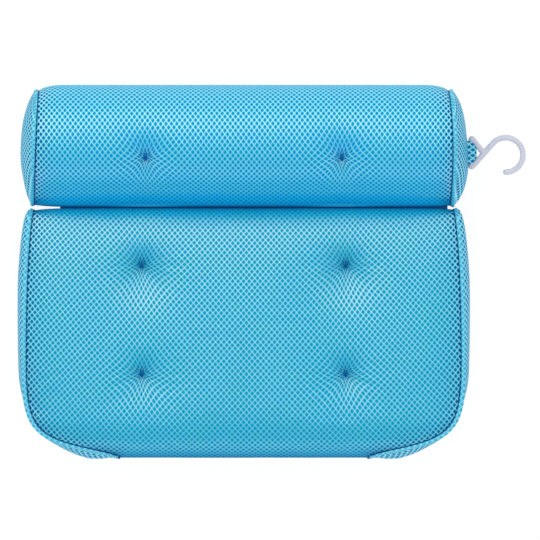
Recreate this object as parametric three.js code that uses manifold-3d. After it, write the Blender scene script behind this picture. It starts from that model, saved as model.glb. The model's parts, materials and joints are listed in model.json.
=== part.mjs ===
// A two-section bath pillow: a headrest roll sewn along a fold line to a back pad, both covered in
// spacer mesh, tufted through to six suction cups, with a hanging hook on one end of the roll.
// x runs across the bath, y up the pillow and z out of its face; the cup lips lie on z = 0.
import * as THREE from 'three'
import Module from 'manifold-3d'
import { mergeVertices } from 'three/addons/utils/BufferGeometryUtils.js'

// Sizes shared by all pieces, in millimetres
const GAP = 0.3 // clearance between neighbouring pieces
const FABRIC = 3 // thickness of the spacer mesh
const REAR_HEIGHT = 12 // rear of both cushions above the cup lips
const FOLD_HEIGHT = 52 // sewn fold line above the cup lips
const FOLD_LENGTH = 323 // stitched length of the fold line
const THREAD_DIAMETER = 1 // row of stitches on the fold line

// Headrest roll
const HEADREST_LENGTH = 346 // between the two end seams
const HEADREST_WIDTH = 101.7 // fold line to top edge
const HEADREST_DEPTH = 94 // rear to face
const HEADREST_NOSE = 4 // how far the cover is drawn out to the fold line
const HEADREST_END_DRAW = 4 // drawn in by the end seams
const HEADREST_END_BULGE = 9 // swell of the end panels inside their rolled edge
const HEADREST_END_POWER = 2 // how soon that swell fades towards narrower rows
const HEADREST_FOLD_POWER = 3 // how close to the fold line the roll bends to its height
const HEADREST_TUFT_SPACING = 163
const HEADREST_TUFT_RISE = 41 // fold line to tufts

// Back pad
const BACKREST_WIDTH = 363 // between the gusset seams at the widest
const BACKREST_HEIGHT = 208 // fold line to bottom edge
const BACKREST_DEPTH = 64 // rear to face in the middle
const BACKREST_CROWN = 6 // face and rear sink by this towards the gussets
const BACKREST_TOP_ROUND = 38 // run of the taper to the fold line
const BACKREST_FOLD_RUN = 76 // over this distance the pad bends to the height of the fold line
const BACKREST_BOTTOM_ROUND = 32 // run of the rounded bottom edge
const BACKREST_TOP_TAPER = 6.5 // the seams close in by this towards the fold line
const BACKREST_TOP_RUN = 45 // over about this distance
const BACKREST_CORNER = 32.5 // reach of the bottom corners along the seam
const BACKREST_CORNER_POWER = 2.4 // how squarely the seam turns there
const BACKREST_TIP_SPACING = 208 // between the gusset tips on the bottom edge
const BACKREST_TIP_EDGE = 1.2 // width of the rolled edge at the gusset tips
const BACKREST_END_DRAW = 4 // drawn in by the gusset seams
const BACKREST_GUSSET_BULGE = 4 // swell of the gussets inside their rolled edge
const BACKREST_GUSSET_POWER = 0.6 // how soon that swell fades towards narrower rows
const BACKREST_PULL = 4 // the gussets are pulled flat by up to this round the bottom corners
const BACKREST_PULL_REACH = 45.5 // tip to the middle of the flattened stretch, along the seam
const BACKREST_PULL_RUN = 19.5 // the pull fades over about this distance
const BACKREST_TUFT_SPACING = 170
const BACKREST_TUFT_DROPS = [48, 138.6] // fold line to each row of tufts

// Seams and tufts of both cushions
const SEAM_DRAW_RUN = 18 // the draw of a seam fades over this distance
const SEAM_ROLL = 2 // rolled edge of a panel standing proud of the seam
const SEAM_EDGE = 3.6 // width of that rolled edge
const SEAM_EDGE_INSIDE = 0.25 // share of the rolled edge that the inside of a panel follows
const FACE_TUFT_DEPTH = 14
const REAR_TUFT_DEPTH = 8
const TUFT_SPREAD = 20
const TUFT_POWER = 1.2

// Suction cups and the cords that tie them through the tufts
const CUP_DIAMETER = 46
const CUP_LIP = 4 // flat ring that meets the bath
const CUP_LIP_EDGE = 0.9
const CUP_WALL = 2.6
const CUP_DOME = 9.5
const CUP_SHOULDER = 0.6 // share of the cup's radius at which its slope turns down
const CUP_NECK_DIAMETER = 9
const SHANK_RADIUS = 2.8 // eye on the neck, to the middle of its bar
const SHANK_BAR = 2.2
const SHANK_SINK = 0.8 // bar buried in the neck
const CORD_DIAMETER = 1.6
const CORD_LOOP_RADIUS = 2.8 // loop through the shank, to the middle of the cord
const KNOT_RADIUS = 1.6

// Hanging hook and its tab
const HOOK_ROD = 4.5
const HOOK_EYE_LENGTH = 25 // between the corners of the eye, along its bar
const HOOK_EYE_DEPTH = 10.5 // bar to the point where the arms of the eye meet
const HOOK_EYE_ROUND = 3.2
const HOOK_ARM_SPLIT = 0.6 // the upper arm is drawn in two lengths, which meet at this share of it
const HOOK_ARM_LAP = 0.1 // share by which the two lengths lap
const HOOK_CROOK_RADIUS = 14.4 // to the middle of the rod
const HOOK_CROOK_REACH = 28.7 // eye bar to the middle of the crook
const HOOK_CROOK_RISE = 10.7 // lower corner of the eye to the middle of the crook
const HOOK_DROP = 8 // middle of the eye below the axis of the roll
const TAB_THICKNESS = 1.8
const TAB_NOSE_WIDTH = 7.4 // where the tab runs through the eye
const TAB_ROOT_WIDTH = 20 // where it enters the end panel
const TAB_SHOULDER = 1 // run over which the tails widen
const TAB_TUCK = 0.4 // the eye bar lies this much closer to the end panel than to the tab's outside

// Steps of the fine surfaces
const HEADREST_STATIONS = 24 // round the roll
const ACROSS_TO_TUFT = [0, 0.5, 0.83, 1] // shares of the way from the middle to a tuft
const ACROSS_TO_SEAM = [0.15, 0.43, 0.76, 0.94, 1] // shares of the way from a tuft to the seam
const PANEL_STEPS = [0.08, 0.25, 0.5, 0.75, 0.92] // shares of the way over an end panel
const TOP_STEPS = [0, 0.2, 0.55, 1] // shares of the taper to the fold line
const TUFT_ROW_STEPS = 4 // from one row of tufts to the next
const LOWER_STEPS = 2 // from the lower tufts to the rounded bottom edge
const BOTTOM_STEPS = 6 // over half of the bottom edge
const CUP_SIDES = 18
const CUP_STEPS = 3 // over the dome, and over its hollow
const CORD_SIDES = 6
const HOOK_SIDES = 8
const HOOK_STEPS = 46
const TAB_STEPS = 8 // round the fold of the tab
const THREAD_SIDES = 8
const MERGE = 1e-4 // points closer than this are one

const wasm = await Module()
wasm.setup()

const finishes = {
  mesh: { color: 0x58bbe2, roughness: 0.85, metalness: 0 },
  fill: { color: 0xf1f1ee, roughness: 0.95, metalness: 0 },
  thread: { color: 0x1f6f9f, roughness: 0.8, metalness: 0 },
  cup: { color: 0xe6eef0, roughness: 0.12, metalness: 0 },
  hook: { color: 0xdfe0ec, roughness: 0.35, metalness: 0 },
}

// Solids

function solidOf(geometry) {
  const bare = geometry.index ? geometry.toNonIndexed() : geometry.clone()
  bare.deleteAttribute('normal')
  bare.deleteAttribute('uv')
  const merged = mergeVertices(bare, MERGE)
  const triVerts = new Uint32Array(closedFaces(merged.index.array))
  const vertProperties = new Float32Array(merged.attributes.position.array)
  const solid = new wasm.Manifold(new wasm.Mesh({ numProp: 3, vertProperties, triVerts }))
  if (solid.volume() > 0) return solid
  triVerts.reverse()
  return new wasm.Manifold(new wasm.Mesh({ numProp: 3, vertProperties, triVerts }))
}

// The triangles whose corners are three different points.
function closedFaces(index) {
  const kept = []
  for (let i = 0; i < index.length; i += 3) {
    const [a, b, c] = index.slice(i, i + 3)
    if (a !== b && b !== c && c !== a) kept.push(a, b, c)
  }
  return kept
}

function geometryOf(solid) {
  const { vertProperties, triVerts } = solid.getMesh()
  const geometry = new THREE.BufferGeometry()
  geometry.setAttribute('position', new THREE.BufferAttribute(vertProperties, 3))
  geometry.setIndex(new THREE.BufferAttribute(triVerts, 1))
  geometry.computeVertexNormals()
  return geometry
}

function piece(name, solid, finish, position = [0, 0, 0]) {
  const mesh = new THREE.Mesh(geometryOf(solid), new THREE.MeshStandardMaterial(finishes[finish]))
  mesh.name = name
  mesh.position.set(...position)
  return mesh
}

// A closed skin over rings of points. Each ring closes on itself, and the rings may close in turn.
// End rings that fold onto themselves close the skin there. Each four-sided patch is split along the
// diagonal that lies further out, so that parallel skins are split alike.
function skin(rings, ringsClose) {
  const points = rings.flat()
  const heart = points.reduce((sum, p) => sum.add(p), new THREE.Vector3()).divideScalar(points.length)
  const reach = (a, b) => a.clone().lerp(b, 0.5).distanceToSquared(heart)
  const positions = []
  const pairs = ringsClose ? rings.length : rings.length - 1
  for (let i = 0; i < pairs; i++) {
    const near = rings[i]
    const far = rings[(i + 1) % rings.length]
    near.forEach((a, j) => {
      const k = (j + 1) % near.length
      const [b, c, d] = [near[k], far[k], far[j]]
      const corners = reach(a, c) > reach(b, d) ? [a, b, c, a, c, d] : [a, b, d, b, c, d]
      corners.forEach((corner) => positions.push(corner.x, corner.y, corner.z))
    })
  }
  return solidOf(
    new THREE.BufferGeometry().setAttribute('position', new THREE.Float32BufferAttribute(positions, 3)),
  )
}

function cylinder(radius, from, to, sides) {
  const geometry = new THREE.CylinderGeometry(radius, radius, to - from, sides)
  geometry.rotateX(Math.PI / 2)
  geometry.translate(0, 0, (from + to) / 2)
  return solidOf(geometry)
}

// Cushions
// Each cushion is a sewn tube across x. Its section is a closed loop of stations in the y-z plane,
// starting on the fold line. A station holds its place, how far the tube reaches to each side there,
// and how far the cover sinks towards that end.

function withNormals(stations) {
  return stations.map((station, i) => {
    const before = stations.at(i - 1)
    const after = stations[(i + 1) % stations.length]
    const along = new THREE.Vector2(after.y - before.y, after.z - before.z).normalize()
    return { ...station, ny: along.y, nz: -along.x }
  })
}

function spread(from, to, steps) {
  return Array.from({ length: steps }, (_, i) => from + ((to - from) * (i + 1)) / steps)
}

const foldClearance = THREAD_DIAMETER / 2 + GAP

function headrestStations() {
  const halfWidth = (HEADREST_WIDTH - HEADREST_NOSE) / 2
  const halfDepth = HEADREST_DEPTH / 2
  const middleY = foldClearance + HEADREST_NOSE + halfWidth
  const middleZ = REAR_HEIGHT + halfDepth
  const step = (2 * Math.PI) / HEADREST_STATIONS
  // the stations lean round the loop so that one falls on the tufts
  const tuftTurn = Math.acos((middleY - HEADREST_TUFT_RISE) / halfWidth)
  const nearest = Math.round(tuftTurn / step) * step
  const lean = (tuftTurn - nearest) / Math.sin(nearest)
  const noseTurn = Math.acos(halfWidth / (halfWidth + HEADREST_NOSE))
  // from the fold line along the rear to the top edge, then back down the face
  return Array.from({ length: HEADREST_STATIONS }, (_, i) => {
    const even = -i * step
    const turn = even + lean * Math.sin(even)
    const fromFold = Math.acos(Math.cos(turn))
    const nose = 1 / Math.cos(Math.max(0, noseTurn - fromFold))
    const toFold = ((1 + Math.cos(turn)) / 2) ** HEADREST_FOLD_POWER
    return {
      y: middleY - halfWidth * nose * Math.cos(turn),
      z: middleZ + halfDepth * nose * Math.sin(turn) + (FOLD_HEIGHT - middleZ) * toFold,
      half: HEADREST_LENGTH / 2,
      crown: 0,
      draw: HEADREST_END_DRAW,
      edge: SEAM_EDGE,
      pull: 0,
    }
  })
}

// Half the depth of the back pad at a distance below the fold line.
function backrestHalfDepth(drop) {
  const top = Math.max(0, 1 - drop / BACKREST_TOP_ROUND)
  const bottom = Math.max(0, 1 - (BACKREST_HEIGHT - drop) / BACKREST_BOTTOM_ROUND)
  return (BACKREST_DEPTH / 2) * (1 - top ** 2) * Math.sqrt(Math.max(0, 1 - bottom ** 2))
}

function backrestStations() {
  const [upper, lower] = BACKREST_TUFT_DROPS
  const bottomStart = BACKREST_HEIGHT - BACKREST_BOTTOM_ROUND
  const bottomTurns = spread(0, Math.PI / 2, BOTTOM_STEPS)
  const drops = [
    ...TOP_STEPS.map((share) => share * BACKREST_TOP_ROUND),
    ...spread(BACKREST_TOP_ROUND, upper, 1),
    ...spread(upper, lower, TUFT_ROW_STEPS),
    ...spread(lower, bottomStart, LOWER_STEPS),
    ...bottomTurns.map((turn) => bottomStart + BACKREST_BOTTOM_ROUND * Math.sin(turn)),
  ]
  const middleZ = REAR_HEIGHT + BACKREST_DEPTH / 2
  const side = (sign) =>
    drops.map((drop) => {
      const toFold = Math.max(0, 1 - drop / BACKREST_FOLD_RUN) ** 2
      return {
        drop,
        y: -foldClearance - drop,
        z: middleZ + sign * backrestHalfDepth(drop) + (FOLD_HEIGHT - middleZ) * toFold,
      }
    })
  // down the face to the bottom edge, then up the rear
  const face = side(1)
  const rear = side(-1)
  const loop = [...face, ...rear.slice(1, -1).reverse()]
  // distance along the seam from the bottom edge, where the gussets come to their tips
  const fromTip = face.map(() => 0)
  for (let i = face.length - 2; i >= 0; i--) {
    fromTip[i] = fromTip[i + 1] + Math.hypot(face[i + 1].y - face[i].y, face[i + 1].z - face[i].z)
  }
  const sideHalf = BACKREST_WIDTH / 2
  const tipHalf = BACKREST_TIP_SPACING / 2
  return loop.map(({ drop, y, z }, i) => {
    const reach = fromTip[Math.min(i, loop.length - i)]
    const corner = 1 - Math.exp(-((reach / BACKREST_CORNER) ** BACKREST_CORNER_POWER))
    const taper = BACKREST_TOP_TAPER * Math.exp(-drop / BACKREST_TOP_RUN)
    const fromPull = (reach - BACKREST_PULL_REACH) / BACKREST_PULL_RUN
    return {
      y,
      z,
      half: tipHalf + (sideHalf - tipHalf) * corner - taper,
      crown: (BACKREST_CROWN * backrestHalfDepth(drop)) / (BACKREST_DEPTH / 2),
      draw: BACKREST_END_DRAW * corner,
      edge: BACKREST_TIP_EDGE + (SEAM_EDGE - BACKREST_TIP_EDGE) * Math.sqrt(corner),
      pull: BACKREST_PULL * Math.exp(-(fromPull ** 2)),
    }
  })
}

function cushion(stations, tuftSpacing, tuftHeights, bulge, bulgePower) {
  const tufts = tuftHeights.flatMap((y) => [-1, 1].map((side) => ({ x: (side * tuftSpacing) / 2, y })))
  const middle = stations.reduce((sum, station) => sum + station.y, 0) / stations.length
  const form = { stations: withNormals(stations), tufts, tuftX: tuftSpacing / 2, middle, bulge, bulgePower }
  const rows = Array.from({ length: stations.length / 2 }, (_, i) => seamPair(form, i, 1, 0).ends)
  form.panelWidth = Math.max(...rows.map(([face, rear]) => face.distanceTo(rear)))
  return form
}

const headrest = cushion(
  headrestStations(),
  HEADREST_TUFT_SPACING,
  [HEADREST_TUFT_RISE],
  HEADREST_END_BULGE,
  HEADREST_END_POWER,
)
const backrest = cushion(
  backrestStations(),
  BACKREST_TUFT_SPACING,
  BACKREST_TUFT_DROPS.map((drop) => -foldClearance - drop),
  BACKREST_GUSSET_BULGE,
  BACKREST_GUSSET_POWER,
)

// A point of the cover, or of a surface that lies inset from it.
function coverPoint(form, station, x, inset) {
  const { y, z, ny, nz, half, crown, draw } = station
  const toSeam = Math.max(0, 1 - Math.max(0, half - Math.abs(x)) / SEAM_DRAW_RUN)
  const sink = inset + crown * (x / half) ** 2 + draw * (1 - Math.sqrt(1 - toSeam ** 2))
  const point = new THREE.Vector3(x, y - ny * sink, z - nz * sink)
  const depth = nz > 0 ? FACE_TUFT_DEPTH : REAR_TUFT_DEPTH
  const pulls = form.tufts.map((tuft) => {
    const away = Math.hypot(point.x - tuft.x, point.y - tuft.y)
    return depth * Math.exp(-((away / TUFT_SPREAD) ** TUFT_POWER))
  })
  point.z -= Math.sign(nz) * Math.max(...pulls)
  return point
}

// Places across the cover at a station, from the left seam to the right one, with a line on the tufts.
function placesAcross(form, station) {
  const tuftX = Math.min(form.tuftX, station.half / 2)
  const right = [
    ...ACROSS_TO_TUFT.map((share) => share * tuftX),
    ...ACROSS_TO_SEAM.map((share) => tuftX + share * (station.half - tuftX)),
  ]
  return [...right.slice(1).reverse().map((x) => -x), ...right]
}

function coverLine(form, station, inset, trim) {
  const scale = (station.half - trim) / station.half
  return placesAcross(form, station).map((x) => coverPoint(form, station, x * scale, inset))
}

// The tube of fabric between the two seams, pierced where the tuft cords run through.
function coverSolid(form) {
  const rings = form.stations.map((station) => [
    ...coverLine(form, station, 0, GAP / 2),
    ...coverLine(form, station, FABRIC, GAP / 2).reverse(),
  ])
  return pierced(form, skin(rings, true))
}

// The direction in which a panel swells at a pair of stations: square to its middle line, outwards.
function panelOut(form, i, side) {
  const last = form.stations.length / 2
  const before = form.stations[Math.max(0, i - 1)]
  const after = form.stations[Math.min(last, i + 1)]
  const out = new THREE.Vector3(before.y - after.y, after.half - before.half, 0).normalize()
  const { half, y } = form.stations[i]
  if (out.x * half + out.y * (y - form.middle) < 0) out.negate()
  return new THREE.Vector3(side * out.x, out.y, 0)
}

// The two stations that a row over an end panel joins, and the seam's place at each.
function seamPair(form, i, side, inset) {
  const count = form.stations.length
  const pair = [form.stations[i], form.stations[(count - i) % count]]
  const ends = pair.map((station) => coverPoint(form, station, side * (station.half + GAP / 2), inset))
  return { pair, ends }
}

// One row over an end panel, from seam to seam between the face and the rear. Beside the seams the
// outside rolls over an edge, and the panel swells between them.
function panelRow(form, i, side, inset) {
  const { pair, ends } = seamPair(form, i, side, inset)
  const out = panelOut(form, i, side)
  const { edge, pull } = pair[0]
  const share = ends[0].distanceTo(ends[1]) / form.panelWidth
  const swell = Math.max(0, form.bulge * share ** form.bulgePower - pull)
  const least = inset > 0 ? edge * SEAM_EDGE_INSIDE + FABRIC - inset : edge
  const roll = inset > 0 ? 0 : (SEAM_ROLL * edge) / SEAM_EDGE
  const edges = pair.map((station, end) => {
    const away = new THREE.Vector3(0, station.ny, station.nz)
    return ends[end].clone().addScaledVector(out, least / 2).addScaledVector(away, roll)
  })
  const middles = PANEL_STEPS.map((step) => {
    const lift = Math.max(least, edge + swell * 4 * step * (1 - step) - inset)
    return ends[0].clone().lerp(ends[1], step).addScaledVector(out, lift)
  })
  return [ends[0], edges[0], ...middles, edges[1], ends[1]]
}

function panelSolid(form, side) {
  const rows = Array.from({ length: form.stations.length / 2 + 1 }, (_, i) => [
    ...panelRow(form, i, side, 0),
    ...panelRow(form, i, side, FABRIC).reverse(),
  ])
  return skin(rows, false)
}

// The filling: inside the cover and both end panels, with a channel for each tuft cord.
function fillSolid(form) {
  const inset = FABRIC + GAP
  const count = form.stations.length
  const rows = Array.from({ length: count / 2 + 1 }, (_, i) => {
    const ends = [-1, 1].map((side) => panelRow(form, i, side, inset).slice(2, -2))
    return [
      ...coverLine(form, form.stations[i], inset, 0),
      ...ends[1],
      ...coverLine(form, form.stations[(count - i) % count], inset, 0).reverse(),
      ...ends[0].reverse(),
    ]
  })
  return pierced(form, skin(rows, false))
}

function pierced(form, solid) {
  const top = REAR_HEIGHT + HEADREST_DEPTH + BACKREST_DEPTH
  const channel = cylinder(CORD_DIAMETER / 2 + GAP, 0, top, CORD_SIDES)
  return form.tufts.reduce((left, { x, y }) => left.subtract(channel.translate(x, y, 0)), solid)
}

// Height of the cover at a tuft, on the face or the rear.
function tuftHeight(form, tuft, facing) {
  const onSide = form.stations.filter((station) => station.nz * facing > 0)
  const distances = onSide.map((station) => Math.abs(station.y - tuft.y))
  const station = onSide[distances.indexOf(Math.min(...distances))]
  return coverPoint(form, station, tuft.x, 0).z
}

// Suction cups and tie cords

const cordRadius = CORD_DIAMETER / 2
const shankBarRadius = SHANK_BAR / 2

function ring(radius, bar, turnAbout, z) {
  const geometry = new THREE.TorusGeometry(radius, bar, CORD_SIDES, 2 * CORD_SIDES)
  if (turnAbout === 'x') geometry.rotateX(Math.PI / 2)
  if (turnAbout === 'y') geometry.rotateY(Math.PI / 2)
  geometry.translate(0, 0, z)
  return solidOf(geometry)
}

// The loop of the cord bears on the rear of the cover, and its lower bend in the shank's eye.
function tieHeights(form, tuft) {
  const loop = tuftHeight(form, tuft, -1) - GAP - cordRadius - CORD_LOOP_RADIUS
  const shank = loop - CORD_LOOP_RADIUS + cordRadius + GAP + shankBarRadius - SHANK_RADIUS
  const neckTop = shank - SHANK_RADIUS - shankBarRadius + SHANK_SINK
  return { loop, shank, neckTop }
}

function cupSolid({ shank, neckTop }) {
  const point = (r, z) => new THREE.Vector2(r, z)
  const rim = CUP_DIAMETER / 2
  const neck = CUP_NECK_DIAMETER / 2
  const hollowTop = CUP_DOME - CUP_WALL
  const hollow = new THREE.QuadraticBezierCurve(
    point(0, hollowTop),
    point(rim * CUP_SHOULDER, hollowTop),
    point(rim - CUP_LIP, 0),
  )
  const dome = new THREE.QuadraticBezierCurve(
    point(rim, CUP_LIP_EDGE),
    point(rim * CUP_SHOULDER, CUP_DOME),
    point(neck, CUP_DOME),
  )
  const profile = [
    ...hollow.getPoints(CUP_STEPS),
    point(rim, 0),
    ...dome.getPoints(CUP_STEPS),
    point(neck, neckTop),
    point(0, neckTop),
  ]
  const body = new THREE.LatheGeometry(profile, CUP_SIDES)
  body.rotateX(Math.PI / 2)
  return solidOf(body).add(ring(SHANK_RADIUS, shankBarRadius, 'x', shank))
}

function cordSolid(form, tuft, { loop }) {
  const steepness = Math.hypot(1, FACE_TUFT_DEPTH / TUFT_SPREAD)
  const knotHeight = tuftHeight(form, tuft, 1) + (KNOT_RADIUS + GAP) * steepness
  const knot = new THREE.SphereGeometry(KNOT_RADIUS, CORD_SIDES + 2, CORD_SIDES)
  knot.translate(0, 0, knotHeight)
  return ring(CORD_LOOP_RADIUS, cordRadius, 'y', loop)
    .add(cylinder(cordRadius, loop + CORD_LOOP_RADIUS, knotHeight, CORD_SIDES))
    .add(solidOf(knot))
}

// Hanging hook and tab
// Both are drawn round the bar of the eye, whose middle is their origin; x runs out of the end panel.

function hookSolid() {
  const rod = HOOK_ROD / 2
  const upper = new THREE.Vector3(0, HOOK_EYE_LENGTH / 2, 0)
  const lower = new THREE.Vector3(0, -HOOK_EYE_LENGTH / 2, 0)
  const centre = lower.clone().add(new THREE.Vector3(HOOK_CROOK_REACH, HOOK_CROOK_RISE, 0))
  // the shaft runs straight from the lower corner and joins the crook without a bend
  const toCentre = centre.clone().sub(lower)
  const shaftTurn = Math.atan2(toCentre.y, toCentre.x) + Math.asin(HOOK_CROOK_RADIUS / toCentre.length())
  const along = new THREE.Vector3(Math.cos(shaftTurn), Math.sin(shaftTurn), 0)
  const shaftLength = Math.sqrt(toCentre.lengthSq() - HOOK_CROOK_RADIUS ** 2)
  const joint = lower.clone().addScaledVector(along, shaftLength)
  const meeting = lower.clone().addScaledVector(along, HOOK_EYE_DEPTH / along.x)
  const back = meeting.clone().sub(upper).normalize()
  const armEnd = upper.clone().lerp(meeting, HOOK_ARM_SPLIT)

  const path = new THREE.CurvePath()
  const turnAt = (corner, from, to) =>
    new THREE.QuadraticBezierCurve3(
      corner.clone().addScaledVector(from, HOOK_EYE_ROUND),
      corner,
      corner.clone().addScaledVector(to, HOOK_EYE_ROUND),
    )
  const down = new THREE.Vector3(0, -1, 0)
  const upperTurn = turnAt(upper, back, down)
  const lowerTurn = turnAt(lower, down.clone().negate(), along)
  path.add(new THREE.LineCurve3(armEnd, upperTurn.v0))
  path.add(upperTurn)
  path.add(new THREE.LineCurve3(upperTurn.v2, lowerTurn.v0))
  path.add(lowerTurn)
  path.add(new THREE.LineCurve3(lowerTurn.v2, joint))
  const startTurn = shaftTurn + Math.PI / 2
  path.add(new CrookCurve(centre, HOOK_CROOK_RADIUS, startTurn, -Math.PI / 2))

  const section = new THREE.Shape().absarc(0, 0, rod, 0, 2 * Math.PI)
  const tube = (extrudePath, steps) =>
    solidOf(new THREE.ExtrudeGeometry(section, { extrudePath, steps, curveSegments: HOOK_SIDES / 2 }))
  const tip = new THREE.SphereGeometry(rod, HOOK_SIDES, HOOK_SIDES / 2)
  tip.translate(...path.getPoint(1).toArray())
  const overlap = armEnd.clone().lerp(upper, HOOK_ARM_LAP)
  return tube(path, HOOK_STEPS)
    .add(tube(new THREE.LineCurve3(overlap, meeting), 1))
    .add(solidOf(tip))
}

// An arc of the hook in the x-y plane.
class CrookCurve extends THREE.Curve {
  constructor(centre, radius, from, to) {
    super()
    Object.assign(this, { centre, radius, from, to })
  }

  getPoint(share, target = new THREE.Vector3()) {
    const turn = this.from + (this.to - this.from) * share
    const { x, y, z } = this.centre
    return target.set(x + this.radius * Math.cos(turn), y + this.radius * Math.sin(turn), z)
  }
}

const tabInside = HOOK_ROD / 2 + GAP
const tabOutside = tabInside + TAB_THICKNESS
const eyeFromPanel = tabOutside - TAB_TUCK // eye bar outside the crest of the end panel

// The mesh tab: folded round the bar of the eye, with both tails running through the end panel.
function tabSolid() {
  const tailLength = eyeFromPanel + FABRIC
  const fold = new THREE.Shape()
  fold.moveTo(-tailLength, -tabOutside)
  fold.lineTo(0, -tabOutside)
  fold.absarc(0, 0, tabOutside, -Math.PI / 2, Math.PI / 2)
  fold.lineTo(-tailLength, tabOutside)
  fold.lineTo(-tailLength, tabInside)
  fold.lineTo(0, tabInside)
  fold.absarc(0, 0, tabInside, Math.PI / 2, -Math.PI / 2, true)
  fold.lineTo(-tailLength, -tabInside)
  const strap = new THREE.ExtrudeGeometry(fold, {
    depth: TAB_NOSE_WIDTH,
    bevelEnabled: false,
    curveSegments: TAB_STEPS,
  })
  strap.translate(0, 0, -TAB_NOSE_WIDTH / 2)
  strap.rotateX(Math.PI / 2)

  // the tails widen behind the bar, clear of the arms of the eye as the hook swings
  const shoulder = -tabInside - TAB_SHOULDER
  const tail = new THREE.Shape()
  tail.moveTo(-tailLength, -TAB_ROOT_WIDTH / 2)
  tail.lineTo(shoulder, -TAB_ROOT_WIDTH / 2)
  tail.lineTo(-tabInside, -TAB_NOSE_WIDTH / 2)
  tail.lineTo(-tabInside, TAB_NOSE_WIDTH / 2)
  tail.lineTo(shoulder, TAB_ROOT_WIDTH / 2)
  tail.lineTo(-tailLength, TAB_ROOT_WIDTH / 2)
  const flat = new THREE.ExtrudeGeometry(tail, { depth: TAB_THICKNESS, bevelEnabled: false })
  const tails = solidOf(flat)
  return solidOf(strap)
    .add(tails.translate(0, 0, tabInside))
    .add(tails.translate(0, 0, -tabOutside))
}

// The right end panel has a slit for the tails of the tab.
function slitSolid() {
  const run = eyeFromPanel + SEAM_EDGE + HEADREST_END_BULGE / 2
  const slit = new THREE.BoxGeometry(2 * run, TAB_ROOT_WIDTH + 2 * GAP, 2 * (tabOutside + GAP))
  return solidOf(slit)
}

// Assembly

const pillow = new THREE.Group()
const headrestGroup = new THREE.Group()
const backrestGroup = new THREE.Group()
pillow.add(headrestGroup, backrestGroup)

const axisHeight = REAR_HEIGHT + HEADREST_DEPTH / 2
const axisY = foldClearance + HEADREST_NOSE + (HEADREST_WIDTH - HEADREST_NOSE) / 2
const panelCrest = HEADREST_LENGTH / 2 + GAP / 2 + SEAM_EDGE + HEADREST_END_BULGE
const eyePlace = [panelCrest + eyeFromPanel, axisY - HOOK_DROP, axisHeight]

const slitPanel = panelSolid(headrest, 1).subtract(slitSolid().translate(...eyePlace))

headrestGroup.add(
  piece('headrest_cover', coverSolid(headrest), 'mesh'),
  piece('headrest_end_panel_left', panelSolid(headrest, -1), 'mesh'),
  piece('headrest_end_panel_right', slitPanel, 'mesh'),
  piece('headrest_fill', fillSolid(headrest), 'fill'),
  piece('hook_tab', tabSolid(), 'mesh', eyePlace),
  piece('hanging_hook', hookSolid(), 'hook', eyePlace),
)

backrestGroup.add(
  piece('backrest_cover', coverSolid(backrest), 'mesh'),
  piece('backrest_gusset_left', panelSolid(backrest, -1), 'mesh'),
  piece('backrest_gusset_right', panelSolid(backrest, 1), 'mesh'),
  piece('backrest_fill', fillSolid(backrest), 'fill'),
)

// one cup and one cord for each tuft
const rowNames = { headrest: ['headrest'], backrest: ['upper', 'lower'] }
const sideNames = ['left', 'right']
for (const [form, group, rows] of [
  [headrest, headrestGroup, rowNames.headrest],
  [backrest, backrestGroup, rowNames.backrest],
]) {
  form.tufts.forEach((tuft, i) => {
    const label = `${rows[Math.floor(i / 2)]}_${sideNames[i % 2]}`
    const heights = tieHeights(form, tuft)
    const place = [tuft.x, tuft.y, 0]
    group.add(piece(`suction_cup_${label}`, cupSolid(heights), 'cup', place))
    group.add(piece(`tuft_cord_${label}`, cordSolid(form, tuft, heights), 'thread', place))
  })
}

// the row of stitches that joins the two covers lies on the fold line
const threadRadius = THREAD_DIAMETER / 2
const stitches = new THREE.CylinderGeometry(threadRadius, threadRadius, FOLD_LENGTH, THREAD_SIDES)
stitches.rotateZ(Math.PI / 2)
backrestGroup.add(piece('fold_stitching', solidOf(stitches), 'thread', [0, 0, FOLD_HEIGHT]))

// the frame's origin is under the middle of the whole pillow, on the plane of the cup lips
const box = new THREE.Box3().setFromObject(pillow, true)
const middle = box.getCenter(new THREE.Vector3())
pillow.position.set(-middle.x, -middle.y, -box.min.z)

export default pillow
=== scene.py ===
# Bath pillow of spacer mesh: a headrest roll sewn to a back pad, with suction cups and a hanging hook
import bpy
import json
import math
import numpy as np
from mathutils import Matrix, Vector
from mathutils.kdtree import KDTree


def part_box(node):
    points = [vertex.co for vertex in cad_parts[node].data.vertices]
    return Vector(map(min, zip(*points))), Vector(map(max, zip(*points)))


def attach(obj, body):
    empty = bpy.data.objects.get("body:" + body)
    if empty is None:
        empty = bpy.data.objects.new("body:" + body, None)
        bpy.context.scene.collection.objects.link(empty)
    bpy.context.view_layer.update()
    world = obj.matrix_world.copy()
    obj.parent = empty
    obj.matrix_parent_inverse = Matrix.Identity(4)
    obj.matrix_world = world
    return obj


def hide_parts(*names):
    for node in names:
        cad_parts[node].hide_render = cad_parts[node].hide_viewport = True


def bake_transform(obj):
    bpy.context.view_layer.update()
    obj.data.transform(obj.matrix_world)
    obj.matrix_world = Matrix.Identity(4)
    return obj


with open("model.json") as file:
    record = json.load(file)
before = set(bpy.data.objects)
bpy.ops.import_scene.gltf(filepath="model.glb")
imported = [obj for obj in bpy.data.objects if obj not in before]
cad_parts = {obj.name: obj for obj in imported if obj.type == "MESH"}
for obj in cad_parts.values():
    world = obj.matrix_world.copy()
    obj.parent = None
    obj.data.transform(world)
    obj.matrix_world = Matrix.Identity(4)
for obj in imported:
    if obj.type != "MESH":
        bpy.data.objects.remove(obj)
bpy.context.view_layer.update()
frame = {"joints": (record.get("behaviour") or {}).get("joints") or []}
bpy.ops.object.select_all(action="DESELECT")
mm = 0.001
tiny = 1e-9  # keeps a division from zero
bothSides = ((-1, "left"), (1, "right"))
joints = {joint["name"]: joint for joint in frame["joints"]}
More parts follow.
